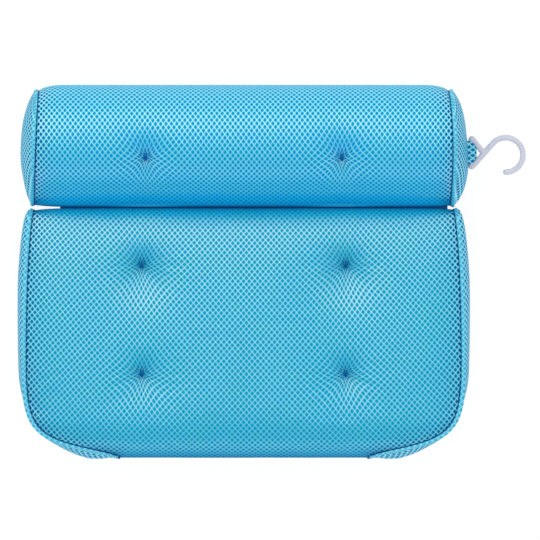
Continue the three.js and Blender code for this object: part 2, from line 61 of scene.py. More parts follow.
foldY, foldZ = joints["headrest_fold"]["pos_m"][1:]
eyeBar = Vector(joints["hook_swing"]["pos_m"])  # middle of the bar that the tab holds
midX = sum(corner.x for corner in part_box("headrest_cover")) / 2
print("frame loaded, fold line at y", round(foldY, 4))


# Camera, floor and light
shot = dict(
    distance=8.0, planeZ=60 * mm, frameWidth=450 * mm, framePx=540, sensor=36, clipEnd=50,
    pillowPx=(243.7, 207.5),  # where the middle of the fold line falls
)
studio = dict(
    ambient=0.84, flag=0.92, flagUp=(0.12, 0.4), flagNear=(-0.65, 0.44),  # a dark flag above the near side
    floorSize=8, floorCamera=0.13, floorGlow=0.89,  # the floor as it is seen
    floorBounce=0.5, floorLift=0.75,  # the floor as it lights the pillow
)
lamps = [
    dict(name="topSoftbox", at=(-0.45, 1.05, 1.7), aim=(0, 0.02, 0.05), size=(1.6, 2.0),
         watts=12, tint=(1, 0.86, 0.62), gloss=True),
    dict(name="frontFill", at=(0.1, -0.45, 2.3), aim=(0, 0, 0.05), size=(1.0, 1.0),
         watts=12, tint=(1, 1, 1), gloss=False),
]


def makeCamera():
    px = shot["frameWidth"] / shot["framePx"]
    middle = shot["framePx"] / 2
    x = midX + (middle - shot["pillowPx"][0]) * px
    y = foldY - (middle - shot["pillowPx"][1]) * px
    bpy.ops.object.camera_add(location=(x, y, shot["planeZ"] + shot["distance"]), rotation=(0, 0, 0))
    camera = bpy.context.object
    camera.data.sensor_width = shot["sensor"]
    camera.data.lens = shot["sensor"] * shot["distance"] / shot["frameWidth"]
    camera.data.clip_end = shot["clipEnd"]
    bpy.context.scene.camera = camera


def makeLamps():
    for lamp in lamps:
        bpy.ops.object.light_add(type="AREA", location=lamp["at"])
        light = bpy.context.object
        light.name = lamp["name"]
        light.data.shape = "RECTANGLE"
        light.data.size, light.data.size_y = lamp["size"]
        light.data.energy = lamp["watts"]
        light.data.color = lamp["tint"]
        light.visible_glossy = lamp["gloss"]
        light.rotation_euler = (Vector(lamp["aim"]) - light.location).to_track_quat("-Z", "Y").to_euler()


# Shader maths: a Value stands for a socket, and sums of Values add Math nodes
class Value:
    def __init__(self, look, socket):
        self.look, self.socket = look, socket

    def math(self, operation, *others):
        return self.look.node("ShaderNodeMath", dict(operation=operation), [self, *others])

    def __add__(self, other):
        return self.math("ADD", other)

    def __sub__(self, other):
        return self.math("SUBTRACT", other)

    def __rsub__(self, other):
        return self.look.node("ShaderNodeMath", dict(operation="SUBTRACT"), [other, self])

    def __mul__(self, other):
        return self.math("MULTIPLY", other)

    def __truediv__(self, other):
        return self.math("DIVIDE", other)

    def __pow__(self, other):
        return self.math("POWER", other)

    def __abs__(self):
        return self.math("ABSOLUTE")

    __radd__ = __add__
    __rmul__ = __mul__


class Look:
    def __init__(self, name, tree=None):
        if tree is None:
            self.material = bpy.data.materials.new(name)
            self.material.use_nodes = True
            tree = self.material.node_tree
        self.tree = tree
        self.tree.nodes.clear()

    def node(self, kind, settings=None, inputs=None, out=0):
        made = self.tree.nodes.new(kind)
        for key, value in (settings or {}).items():
            setattr(made, key, value)
        pairs = inputs.items() if isinstance(inputs, dict) else enumerate(inputs or [])
        for key, value in pairs:
            if isinstance(value, Value):
                self.tree.links.new(value.socket, made.inputs[key])
            else:
                made.inputs[key].default_value = value
        return Value(self, made.outputs[out]) if made.outputs else None

    def mix(self, share, a, b):
        a, b = [tone if isinstance(tone, Value) else (*tone, 1) for tone in (a, b)]
        return self.node("ShaderNodeMix", dict(data_type="RGBA"), {0: share, 6: a, 7: b}, out=2)

    def smooth(self, value, low, high):
        settings = dict(interpolation_type="SMOOTHSTEP")
        return self.node("ShaderNodeMapRange", settings, {"Value": value, "From Min": low, "From Max": high})

    def noise(self, place, scale, detail, roughness=0.5):
        inputs = {"Vector": place, "Scale": scale, "Detail": detail, "Roughness": roughness}
        return self.node("ShaderNodeTexNoise", None, inputs)

    def bump(self, height, strength, rise):
        return self.node("ShaderNodeBump", None, {"Strength": strength, "Distance": rise, "Height": height})

    def tint(self, name):  # a value painted on the cloth
        return self.node("ShaderNodeAttribute", dict(attribute_name=name), out="Fac")

    def place(self):
        return self.node("ShaderNodeTexCoord", out="Object")

    def parts(self, vector):
        split = self.tree.nodes.new("ShaderNodeSeparateXYZ")
        self.tree.links.new(vector.socket, split.inputs[0])
        return [Value(self, output) for output in split.outputs]

    def surface(self, tone, rough, bump, others):
        inputs = {"Base Color": tone, "Roughness": rough, "Normal": bump, **others}
        return self.finish(self.node("ShaderNodeBsdfPrincipled", None, inputs))

    def finish(self, shader, kind="ShaderNodeOutputMaterial"):
        self.node(kind, None, [shader])
        return getattr(self, "material", None)


def colour(red, green, blue):  # sRGB bytes to the linear values that shaders take
    shares = np.array([red, green, blue]) / 255
    linear = np.where(shares <= 0.04045, shares / 12.92, ((shares + 0.055) / 1.055) ** 2.4)
    return tuple(float(share) for share in linear)


def grey(level):
    return (level, level, level, 1)


def rayIsSeen(look):
    path = look.tree.nodes.new("ShaderNodeLightPath")
    rays = ("Is Camera Ray", "Is Glossy Ray", "Is Transmission Ray")
    camera, glossy, through = [Value(look, path.outputs[name]) for name in rays]
    return camera.math("MAXIMUM", glossy).math("MAXIMUM", through)


def makeWorld():
    world = bpy.data.worlds.new("studio")
    bpy.context.scene.world = world
    world.use_nodes = True
    look = Look("studio", world.node_tree)
    air = look.node("ShaderNodeBackground", None, {"Color": grey(1), "Strength": studio["ambient"]})
    _, y, z = look.parts(look.node("ShaderNodeTexCoord", out="Generated"))
    flag = look.smooth(z, *studio["flagUp"]) * look.smooth(y * -1.0, *studio["flagNear"])
    bright = 1.0 - flag * studio["flag"]
    backdrop = look.node("ShaderNodeBackground", None, {"Color": grey(1), "Strength": bright})
    sky = look.node("ShaderNodeMixShader", None, [rayIsSeen(look), air, backdrop])
    look.finish(sky, "ShaderNodeOutputWorld")


def glowing(look, tone, glow):  # matt, with some light of its own
    matt = look.node("ShaderNodeBsdfDiffuse", None, {"Color": grey(tone)})
    light = look.node("ShaderNodeEmission", None, {"Color": grey(1), "Strength": glow})
    return look.node("ShaderNodeAddShader", None, [matt, light])


def makeFloor():
    bpy.ops.mesh.primitive_plane_add(size=studio["floorSize"], location=(0, 0, 0))
    floor = bpy.context.object
    floor.name = "floor"
    look = Look("paleFloor")
    pale = glowing(look, studio["floorBounce"], studio["floorLift"])
    white = glowing(look, studio["floorCamera"], studio["floorGlow"])
    fromAbove = look.node("ShaderNodeMixShader", None, [rayIsSeen(look), pale, white])
    under = look.node("ShaderNodeNewGeometry", out="Backfacing")
    clear = look.node("ShaderNodeBsdfTransparent")
    shader = look.node("ShaderNodeMixShader", None, [under, fromAbove, clear])
    floor.data.materials.append(look.finish(shader))


makeCamera()
makeLamps()
makeWorld()
makeFloor()
bpy.context.scene.view_settings.view_transform = "Standard"
print("camera, light and floor ready")


# Materials
meshTone = dict(
    lower=colour(0, 150, 174),  # lower layer seen through a hole
    azure=colour(0, 140, 202),  # some holes are bluer
    deep=colour(0, 62, 128),  # painted shade: holes along a seam, in a tuft and in the fold, and yarn deep in a pit or the fold
    gleam=colour(196, 234, 244),  # painted highlight: paler yarn on the pad's top slope and below the upper tufts
    # shares of painted highlight and painted shade on the yarn
    gleamShare=0.3, deepShare=0.6,
    square=4,  # how square the holes' corners are
    yarn=(0.24, 0.37), crest=(0.36, 0.5),  # of the way from the middle of one hole to the next
    pillar=(0.55, 0.95),  # where the yarns of two holes side by side run together
    plainCrest=0.6,  # how much of the crest a rolled edge loses
    chanceBlue=0.4, driftBlue=0.2, driftScale=34.0, drift=(0.35, 0.65),
    fibreScale=2600.0, fibreRough=0.6, twist=(31.0, 9.0),
    # the yarn is painted paler, a painted highlight, where the holes carry painted shade
    paleShare=0.5, pillarPale=0.3, fibrePale=0.25, darkPale=0.7, plainPale=0.3,
    rise=0.8 * mm, bump=0.7, yarnHigh=0.7, crestHigh=0.25, twistHigh=0.05, fibreHigh=0.1,
    holeRough=0.9, yarnSmoother=0.2,
    gloss=0.4,  # roughness of the yarn's shine
    shine=2.7,  # its index of refraction
    # the second share is how much shine is lost where shade is painted
    flankShine=0.3, dullShine=0.85,
)


def spacerMesh(name, pitch, blue, flank, pale, shaded):
    look, tone = Look(name), meshTone
    cloth = look.node("ShaderNodeUVMap", dict(uv_map="cloth"))
    # painted shade of the holes, closing of the holes, painted shade of the yarn, and painted highlight
    dark, plain, dull, lit = [look.tint(key) for key in ("seamShade", "plain", "dull", "lit")]
    u, v, _ = look.parts(cloth)
    across, along = u / pitch[0], v / pitch[1]
    p, q = across + along, across - along  # counted along the two diagonals of the holes
    cellP, cellQ = p.math("ROUND"), q.math("ROUND")
    offP, offQ = p - cellP, q - cellQ
    square = tone["square"]
    toYarn = (abs(offP) ** square + abs(offQ) ** square) ** (1 / square)  # 0 in the middle of a hole
    solid = look.smooth(toYarn, *tone["yarn"])
    solid = solid + plain - solid * plain  # the holes close along a rolled edge
    crest = look.smooth(toYarn, *tone["crest"]) * (1.0 - plain * tone["plainCrest"])
    pillar = look.smooth(abs(offP + offQ), *tone["pillar"])
    cell = look.node("ShaderNodeCombineXYZ", None, [cellP, cellQ, 0.0])
    chance = look.node("ShaderNodeTexWhiteNoise", dict(noise_dimensions="2D"), {"Vector": cell})
    drift = look.smooth(look.noise(cloth, tone["driftScale"], detail=1.0), *tone["drift"])
    fibre = look.noise(cloth, tone["fibreScale"], detail=2.0, roughness=tone["fibreRough"])
    twist = (p * tone["twist"][0] + q * tone["twist"][1]).math("SINE") * 0.5 + 0.5
    bluer = chance * tone["chanceBlue"] + drift * tone["driftBlue"] + blue
    # painted shade: the holes darken along seams, in tufts, in the fold and at the bottom edge
    hole = look.mix(dark, look.mix(bluer, tone["lower"], tone["azure"]), tone["deep"])
    light = tone["paleShare"] + pillar * tone["pillarPale"]
    # painted highlight: paler yarn along seams and at tufts
    light = light + fibre * tone["fibrePale"] + dark * tone["darkPale"]
    yarn = look.mix(crest * light + plain * tone["plainPale"], flank, pale)
    # painted highlight on the yarn
    yarn = look.mix(lit * tone["gleamShare"], yarn, tone["gleam"])
    # painted shade: the yarn turns to its shaded blue where the cloth faces away from the softbox, in the
    # fold, low on the pad and in and above the tufts
    yarn = look.mix(dull, yarn, shaded)
    yarn = look.mix(dull * dark * tone["deepShare"], yarn, tone["deep"])  # painted shade deep in a pit or the fold
    height = solid * tone["yarnHigh"] + crest * tone["crestHigh"]
    height = height + twist * crest * tone["twistHigh"] + fibre * tone["fibreHigh"]
    shine = solid * (tone["flankShine"] + crest * (1 - tone["flankShine"]))
    # the shine is cut where shade is painted
    others = {
        "Specular IOR Level": 0.0, "Coat Weight": shine * (1.0 - dull * dull * tone["dullShine"]),
        "Coat Roughness": tone["gloss"], "Coat IOR": tone["shine"]}
    rough = tone["holeRough"] - solid * tone["yarnSmoother"]
    bump = look.bump(height, tone["bump"], tone["rise"])
    return look.surface(look.mix(solid, hole, yarn), rough, bump, others)


def plainThread(name, light, dark):
    look = Look(name)
    strand = look.noise(look.place(), scale=1800.0, detail=3.0)
    bump = look.bump(strand, strength=0.6, rise=0.2 * mm)
    tone = look.mix(strand, dark, light)
    return look.surface(tone, rough=0.75, bump=bump, others={"Specular IOR Level": 0.2})


def whiteFibre():
    look = Look("whiteFibre")
    tuft = look.noise(look.place(), scale=420.0, detail=6.0, roughness=0.7)
    tone = look.mix(tuft, colour(222, 224, 222), colour(248, 248, 245))
    bump = look.bump(tuft, strength=0.7, rise=1 * mm)
    return look.surface(tone, rough=0.9, bump=bump, others={"Sheen Weight": 0.3})


def clearVinyl():
    look = Look("clearVinyl")
    place = look.place()
    cloud = look.noise(place, scale=90.0, detail=3.0)
    ripple = look.noise(place, scale=260.0, detail=1.0)
    tone = look.mix(cloud, colour(214, 232, 238), colour(236, 246, 248))
    bump = look.bump(ripple, strength=0.15, rise=0.3 * mm)
    others = {"Transmission Weight": 0.75, "IOR": 1.5}
    return look.surface(tone, rough=0.08 + cloud * 0.14, bump=bump, others=others)


def milkyPlastic():
    look = Look("milkyPlastic")
    place = look.place()
    cloud = look.noise(place, scale=120.0, detail=3.0)
    scuff = look.noise(place, scale=900.0, detail=2.0)
    tone = look.mix(cloud, colour(192, 197, 216), colour(206, 210, 225))
    bump = look.bump(scuff, strength=0.1, rise=0.2 * mm)
    others = {
        "Transmission Weight": 0.1, "IOR": 1.48,
        "Subsurface Weight": 0.2, "Subsurface Radius": (3 * mm,) * 3}
    return look.surface(tone, rough=0.26 + scuff * 0.16, bump=bump, others=others)


rollMesh = spacerMesh(
    "rollMesh", (4.42 * mm, 6.05 * mm), blue=0.45,
    flank=colour(30, 188, 230), pale=colour(122, 214, 242), shaded=colour(12, 174, 236))
padMesh = spacerMesh(
    "padMesh", (4.66 * mm, 5.33 * mm), blue=0.05,
    flank=colour(14, 174, 215), pale=colour(85, 202, 232), shaded=colour(14, 164, 211))
edgeMesh = spacerMesh(
    "edgeMesh", (4.7 * mm, 6 * mm), blue=0.3,
    flank=colour(18, 176, 216), pale=colour(110, 207, 233), shaded=colour(20, 165, 215))
navyThread = plainThread("navyThread", colour(8, 80, 142), colour(0, 32, 82))
twine = plainThread("twine", colour(10, 112, 188), colour(0, 70, 140))
stuffing = whiteFibre()
vinyl = clearVinyl()
plastic = milkyPlastic()
print("materials ready")


# Cushion forms: a closed section in y-z, swept across x between two end seams
sewing = dict(
    rear=12 * mm, foldGap=0.5 * mm, cloth=2.6 * mm, edge=3.6 * mm, edgeEase=(0.2, 8 * mm),
    drawRun=20 * mm, drawEase=(0.8, 14 * mm), faceEase=0.55,  # how the end seams draw the cover in
    rearTuft=8 * mm, tuftPower=1.15, narrow=0.4, soften=2 * mm,
    pinch=3.4 * mm, pinchSpread=6 * mm, pinchPower=1.3, pleats=16, pleatDepth=0.3 * mm, pleatRun=6 * mm,
    gather=6.4 * mm, gatherBelow=0.4, gatherSoften=3 * mm,  # a disc of cloth is bunched into each tuft
    part=dict(left=0.8 * mm, right=0.3 * mm), partFrom=138 * mm, partRun=34 * mm, partFade=10 * mm,
    fine=3000, fineAcross=800, closer=2.4, closerRun=12 * mm, seamColumns=12,  # steps along and across
)
roll = dict(
    name="headrest", width=101.7 * mm, depth=94 * mm, nose=10 * mm, draw=5.6 * mm,
    left=(172.2 * mm, 2.1 * mm, 0.3 * mm),  # half length, lean and bow of the seam
    right=(173.5 * mm, 0.95 * mm, -2.1 * mm),
    swell=dict(left=10 * mm, right=9.2 * mm), swellPower=dict(left=2.2, right=3.6),
    skew=dict(left=0.1, right=0.35),
    tuftX=81.5 * mm, tuftY=[41 * mm], tuftDepth=[11.5 * mm], tuftSpread=[21 * mm], lopside=[0.25],
    gatherFade=[20 * mm], rowCurve=0, squeeze=0, steps=150, columns=78,
    # where shade and highlight are painted on the cover
    foot=0, dullFrom=0.1, dullShare=0.35, foldDull=30 * mm, foldSharp=23 * mm, lowDull=0, litShare=0,
    gleam=[0],
)
pad = dict(
    name="backrest", half=181.5 * mm, height=208.3 * mm, depth=64 * mm, crown=6 * mm, draw=6 * mm,
    topRound=90 * mm, topPower=0.5, foldRun=76 * mm, bottomRound=32 * mm, taper=6.5 * mm, taperRun=45 * mm,
    cornerFrom=18.6 * mm, cornerEase=2.8 * mm, cornerRun=13.6 * mm, tipHalf=104 * mm, tipEdge=1.2 * mm,
    swell=5.4 * mm, swellLow=3.8 * mm, swellFrom=60 * mm, swellRun=70 * mm, swellPower=0.5,
    pull=3.2 * mm, pullReach=56 * mm, pullRun=20 * mm,
    belly=5.2 * mm, bellyReach=20 * mm, bellyRun=(4.4 * mm, 8.5 * mm),
    tuftX=85 * mm, tuftY=[-48.8 * mm, -139.4 * mm], tuftDepth=[12 * mm, 8.2 * mm],
    tuftSpread=[21.5 * mm, 18 * mm], lopside=[0.6, 0.15],
    gatherFade=[27 * mm, 23 * mm], rowCurve=0.29, squeeze=0.3, steps=236, columns=82,
    # where shade and highlight are painted on the cover
    foot=1, dullFrom=0.45, dullShare=1, foldDull=9 * mm, foldSharp=17 * mm, lowDull=0.2, litShare=0.24,
    gleam=[0.5, 0],
)


def spot(distance, share, run, power=2):  # what fades away with distance
    return share * np.exp(-(distance / run) ** power)


def eased(share):
    share = np.clip(share, 0, 1)
    return share ** 2 * (3 - 2 * share)


def summed(steps):  # running totals along the last axis, from 0
    return np.cumsum(np.concatenate([0 * steps[..., :1], steps], axis=-1), axis=-1)


def lengths(points, axis):  # of the steps from point to point
    return np.linalg.norm(np.diff(points, axis=axis), axis=-1)


def unit(vectors):
    return vectors / np.linalg.norm(vectors, axis=-1, keepdims=True)


def evenly(loop, sizes):  # the closed loop again, in even steps along it that shorten at the tufts
    y, z = np.append(loop["y"], loop["y"][0]), np.append(loop["z"], loop["z"][0])
    run = summed(np.hypot(np.diff(y), np.diff(z)))
    at = graded(run, closer(y, sizes["tuftY"]), sizes["steps"] + 1)[:-1]
    even = {key: np.interp(at, run, np.append(row, row[0])) for key, row in loop.items()}
    even["run"], even["length"] = at, run[-1]
    return even


def closer(places, tufts):
    return 1 + sum(spot(places - tuft, sewing["closer"], sewing["closerRun"]) for tuft in tufts)


def graded(places, density, count):
    spent = summed((density[1:] + density[:-1]) / 2 * np.diff(places))
    return np.interp(np.linspace(0, spent[-1], count), spent, places)


def outward(form, facing):  # the section's normals; facing tells which way round the loop runs
    dy = np.roll(form["y"], -1) - np.roll(form["y"], 1)
    dz = np.roll(form["z"], -1) - np.roll(form["z"], 1)
    size = np.hypot(dy, dz)
    form["ny"], form["nz"] = -dz / size * facing, dy / size * facing
    form["facing"] = facing
    return form


def faceEase(form):  # the seams draw the face in less than the edges
    return 1 - sewing["faceEase"] * np.maximum(0, form["nz"]) ** 2


def foldEase(distance, share, run):  # less of it near the fold
    return 1 - spot(distance, share, run)


def foldDistance(form):
    return np.minimum(form["run"], form["length"] - form["run"])[:, None]


def footDistance(form):  # from the bottom edge, along the section
    return np.abs(form["run"] - form["run"][np.argmin(form["y"])])


def parting(form, x):  # the covers part towards the ends of the fold
    ramp = np.clip((np.abs(x) - sewing["partFrom"]) / sewing["partRun"], 0, 1)
    gap = np.where(x < 0, sewing["part"]["left"], sewing["part"]["right"])
    return form["facing"] * gap * ramp ** 2 * spot(foldDistance(form), 1, sewing["partFade"])


def rollForm(**changes):
    sizes = dict(roll, **changes)
    turn = np.linspace(0, 2 * math.pi, 2 * sewing["fine"], endpoint=False)
    halfWidth, halfDepth = (roll["width"] - roll["nose"]) / 2, roll["depth"] / 2
    middleZ = sewing["rear"] + halfDepth
    noseTurn = math.acos(halfWidth / (halfWidth + roll["nose"]))
    fromFold = np.arccos(np.cos(turn))
    drawn = 1 / np.cos(np.maximum(0, noseTurn - fromFold))  # out to the tangents that meet on the fold
    toFold = ((1 + np.cos(turn)) / 2) ** 3  # 1 on the fold line
    y = sewing["foldGap"] + roll["nose"] + halfWidth - halfWidth * drawn * np.cos(turn)
    z = middleZ + halfDepth * drawn * np.sin(turn) + (foldZ - middleZ) * toFold
    form = outward(evenly(dict(y=y, z=z), sizes), 1)
    down = 1 - 2 * (form["y"] - form["y"].min()) / np.ptp(form["y"])  # -1 at the top, 1 at the fold
    for _, word in bothSides:
        half, lean, bow = roll[word]
        form[word] = half + lean * down + bow * down ** 2
        swell = roll["swell"][word] * (1 - np.abs(down) ** roll["swellPower"][word])
        form[word + "Swell"] = swell * (1 + roll["skew"][word] * down)
    form["crown"] = 0 * down
    form["edge"] = sewing["edge"] * foldEase(form["y"], *sewing["edgeEase"])
    form["draw"] = roll["draw"] * foldEase(form["y"], *sewing["drawEase"]) * faceEase(form)
    return dict(sizes, **form)


def padHalfDepth(drop):
    top = np.maximum(0, 1 - drop / pad["topRound"])
    bottom = np.maximum(0, 1 - (pad["height"] - drop) / pad["bottomRound"])
    return pad["depth"] / 2 * (1 - top ** 2) ** pad["topPower"] * np.sqrt(np.maximum(0, 1 - bottom ** 2))


def padForm(**changes):
    sizes = dict(pad, **changes)
    fine = sewing["fine"]
    down = pad["height"] * (1 - np.cos(np.linspace(0, math.pi, fine))) / 2
    drop = np.concatenate([down, down[-2:0:-1]])  # down the face, then up the rear
    side = np.concatenate([np.ones(fine), -np.ones(fine - 2)])
    middleZ = sewing["rear"] + pad["depth"] / 2
    toFold = np.maximum(0, 1 - drop / pad["foldRun"]) ** 2
    z = middleZ + side * padHalfDepth(drop) + (foldZ - middleZ) * toFold
    form = outward(evenly(dict(y=-sewing["foldGap"] - drop, z=z, drop=drop), sizes), -1)
    drop, reach = form["drop"], footDistance(form)
    bent = pad["cornerEase"] * np.log1p(np.exp((reach - pad["cornerFrom"]) / pad["cornerEase"]))
    corner = 1 - np.exp(-bent / pad["cornerRun"])
    taper = pad["taper"] * np.exp(-drop / pad["taperRun"])
    form["left"] = form["right"] = pad["tipHalf"] + (pad["half"] - pad["tipHalf"]) * corner - taper
    form["crown"] = pad["crown"] * padHalfDepth(drop) / (pad["depth"] / 2)
    form["draw"] = pad["draw"] * corner * foldEase(drop, *sewing["drawEase"]) * faceEase(form)
    edge = pad["tipEdge"] + (sewing["edge"] - pad["tipEdge"]) * np.sqrt(corner)
    form["edge"] = edge * foldEase(drop, *sewing["edgeEase"])
    pull = spot(reach - pad["pullReach"], pad["pull"], pad["pullRun"])
    bellyRun = np.where(reach < pad["bellyReach"], *pad["bellyRun"])
    belly = spot(reach - pad["bellyReach"], pad["belly"], bellyRun)
    low = np.clip((drop - pad["swellFrom"]) / pad["swellRun"], 0, 1)
    swell = pad["swell"] + (pad["swellLow"] - pad["swell"]) * low
    thick = 2 * padHalfDepth(drop) / pad["depth"]
    form["leftSwell"] = form["rightSwell"] = np.maximum(0, swell * thick ** pad["swellPower"] - pull) + belly
    return dict(sizes, **form)


def columnsOf(form):  # places from the left seam to the right one, closer together at tufts and seams
    flat = form["right"].max() - sewing["drawRun"]
    places = np.linspace(0, flat, sewing["fineAcross"])
    count = form["columns"] - sewing["seamColumns"] + 1
    inner = graded(places, closer(places, [form["tuftX"]]), count)[:-1]
    turn = np.linspace(0, math.pi / 2, sewing["seamColumns"])[None, :]
    halves = []
    for _, word in bothSides:
        half = form[word][:, None]
        run = np.minimum(sewing["drawRun"], half / 2)
        both = [inner[None, :] / flat * (half - run), half - run * (1 - np.sin(turn))]
        halves.append(np.concatenate(both, axis=1))
    return np.concatenate([-halves[0][:, :0:-1], halves[1]], axis=1)


def toSeamOf(form, x):  # how far each point is from the nearer seam, and half the cover's length there
    half = np.where(x < 0, form["left"][:, None], form["right"][:, None])
    return half - np.abs(x), half


def seamLine(form, side):
    half = form["left" if side < 0 else "right"]
    y = form["y"] - form["ny"] * form["draw"] + parting(form, side * half[:, None])[:, 0]
    z = form["z"] - form["nz"] * (form["draw"] + form["crown"])
    return np.stack([side * half, y, z], axis=-1)


def tuftOffsets(form, smooth):  # for each tuft, its row and where every point lies from it
    for row, tuftY in enumerate(form["tuftY"]):
        for side, _ in bothSides:
            dx, dy = smooth[..., 0] - side * form["tuftX"], smooth[..., 1] - tuftY
            yield row, dx, dy, np.hypot(dx, dy)


def coverGrid(form, inset=0.0):
    x = columnsOf(form)
    tall = {key: form[key][:, None] for key in ("y", "z", "ny", "nz", "crown", "draw")}
    left, half = toSeamOf(form, x)
    bend = np.clip(1 - left / np.minimum(sewing["drawRun"], half / 2), 0, 1)
    sink = inset + tall["draw"] * (1 - np.sqrt(1 - bend ** 2))
    lower = sink + tall["crown"] * (x / half) ** 2
    y = tall["y"] - tall["ny"] * sink + parting(form, x)
    smooth = np.stack([x, y, tall["z"] - tall["nz"] * lower], axis=-1)
    onFace = tall["nz"] > 0
    dip = np.zeros_like(x)
    for row, dx, dy, away in tuftOffsets(form, smooth):
        upward = dy / (away + sewing["soften"])
        spread = form["tuftSpread"][row] * (1 - form["lopside"][row] * upward)  # steeper above
        spread = spread * (1 - sewing["narrow"] * (1 - upward ** 2))
        depth = np.where(onFace, form["tuftDepth"][row], sewing["rearTuft"])
        hollow = spot(away, depth, spread, sewing["tuftPower"])
        pinch = spot(away, np.where(onFace, sewing["pinch"], 0), sewing["pinchSpread"], sewing["pinchPower"])
        swing = away / sewing["pleatRun"]
        rays = np.cos(sewing["pleats"] * np.arctan2(dy, dx))
        pleat = sewing["pleatDepth"] * rays * swing * np.exp(1 - swing)
        dip = np.maximum(dip, hollow + pinch + pleat)
    points = smooth.copy()
    points[..., 2] -= np.sign(tall["nz"]) * dip
    return x, smooth, points


def clothMap(form, x, smooth):  # where each point lies on the flat cloth, with the gathers at the tufts
    u = summed(lengths(smooth, axis=1))
    u -= u[:, [u.shape[1] // 2]]
    rise = form["y"][:, None] - form["y"].mean()
    u = u * (1 + form["squeeze"] * rise)
    v = form["run"][:, None] + form["rowCurve"] * x ** 2
    upTheCloth = np.where(form["nz"] > 0, form["facing"], -form["facing"])[:, None]
    for row, dx, dy, away in tuftOffsets(form, smooth):
        away = away + tiny
        drawn = spot(away, sewing["gather"], form["gatherFade"][row])
        drawn = drawn * (1 - sewing["gatherBelow"] * dy / (away + sewing["gatherSoften"]))
        u = u + drawn * dx / away
        v = v + drawn * dy / away * upTheCloth
    return u, v


def meshObject(name, points, faces, material):
    data = bpy.data.meshes.new(name)
    corners = [list(dict.fromkeys(map(int, face))) for face in faces]  # each corner once
    data.from_pydata(points.tolist(), [], corners)
    data.shade_smooth()
    data.materials.append(material)
    piece = bpy.data.objects.new(name, data)
    bpy.context.scene.collection.objects.link(piece)
    return piece


def clothObject(name, points, faces, clothUv, tints, material):
    piece = meshObject(name, points, faces, material)
    piece.data.uv_layers.new(name="cloth").data.foreach_set("uv", clothUv.astype(np.float32).ravel())
    # the painted shade and painted highlight go on the cloth as point attributes
    for key in ("seamShade", "plain", "dull", "lit"):
        values = (np.zeros(len(points)) + np.ravel(tints.get(key, 0))).astype(np.float32)
        piece.data.attributes.new(key, "FLOAT", "POINT").data.foreach_set("value", values)
    return piece


def gridCorners(rows, columns, closed=False):  # the four corners of each face of a sheet or a closed sleeve
    i, j = np.meshgrid(np.arange(rows if closed else rows - 1), np.arange(columns - 1), indexing="ij")
    after = (i + 1) % rows
    return [(i, j), (i, j + 1), (after, j + 1), (after, j)]


def gridFaces(corners, columns):
    return np.stack([row * columns + column for row, column in corners], axis=-1).reshape(-1, 4)


def gridUv(corners, u, v, wrap=0):
    uv = [np.stack([u[at], v[at] + (wrap if k > 1 else 0)], axis=-1) for k, at in enumerate(corners)]
    return np.stack(uv, axis=2).reshape(-1, 4, 2)


def intoFrame(points):
    return (points + np.array([midX, foldY, 0])).reshape(-1, 3)


# Cloth simulation: the filling presses a coarse copy of each cover out between its seams, fold and tufts
settle = dict(
    steps=110, columns=50, pressure=4.0, mass=0.002, stretch=12.0, bending=0.3, frames=20, quality=6,
    heldSeam=0.1 * mm, heldFold=7 * mm, heldTuft=6 * mm, limit=3.5 * mm, sideways=0.2,
)


def settled(makeForm):
    form = makeForm(steps=settle["steps"], columns=settle["columns"])
    x, smooth, points = coverGrid(form)
    faces = gridFaces(gridCorners(*x.shape, closed=True), x.shape[1])
    piece = meshObject("settling", points.reshape(-1, 3), faces[:, ::form["facing"]], stuffing)
    held = (toSeamOf(form, x)[0] < settle["heldSeam"]) | (foldDistance(form) < settle["heldFold"])
    for _, _, _, away in tuftOffsets(form, smooth):
        held |= away < settle["heldTuft"]
    piece.vertex_groups.new(name="held").add(np.flatnonzero(held).tolist(), 1.0, "REPLACE")
    cloth = piece.modifiers.new("settle", "CLOTH")
    cloth.settings.vertex_group_mass = "held"
    cloth.settings.quality = settle["quality"]
    cloth.settings.mass = settle["mass"]
    cloth.settings.tension_stiffness = cloth.settings.compression_stiffness = settle["stretch"]
    cloth.settings.bending_stiffness = settle["bending"]
    cloth.settings.use_pressure = True
    cloth.settings.uniform_pressure_force = settle["pressure"]
    cloth.settings.effector_weights.gravity = 0
    cloth.collision_settings.use_collision = False
    cloth.point_cache.frame_end = settle["frames"]
    for step in range(1, settle["frames"] + 1):
        bpy.context.scene.frame_set(step)
    ready = piece.evaluated_get(bpy.context.evaluated_depsgraph_get())
    after = np.array([vertex.co[:] for vertex in ready.data.vertices]).reshape(points.shape)
    bpy.context.scene.frame_set(1)
    bpy.data.objects.remove(piece)
    moved = after - points
    far = np.linalg.norm(moved, axis=-1, keepdims=True)
    furthest, mean = [round(float(distance) / mm, 2) for distance in (far.max(), far.mean())]
    print("cover settled, furthest", furthest, "mm, mean", mean, "mm")
    moved = moved * settle["limit"] * np.tanh(far / settle["limit"]) / (far + tiny)
    return form, x, moved * np.array([0, settle["sideways"], 1])  # the outline keeps to the seams


def alongRun(form, coarse, values):  # values on the coarse rows, read off at the finer ones
    run = np.append(coarse["run"], coarse["length"])
    values = np.concatenate([values, values[:1]])
    return np.stack([np.interp(form["run"], run, column) for column in values.T], axis=1)


def pushOut(form, x, points, makeForm):
    coarse, coarseX, moved = settled(makeForm)
    places = alongRun(form, coarse, coarseX)
    for axis in (1, 2):
        shift = alongRun(form, coarse, moved[..., axis])
        points[..., axis] += [np.interp(x[row], places[row], shift[row]) for row in range(len(x))]


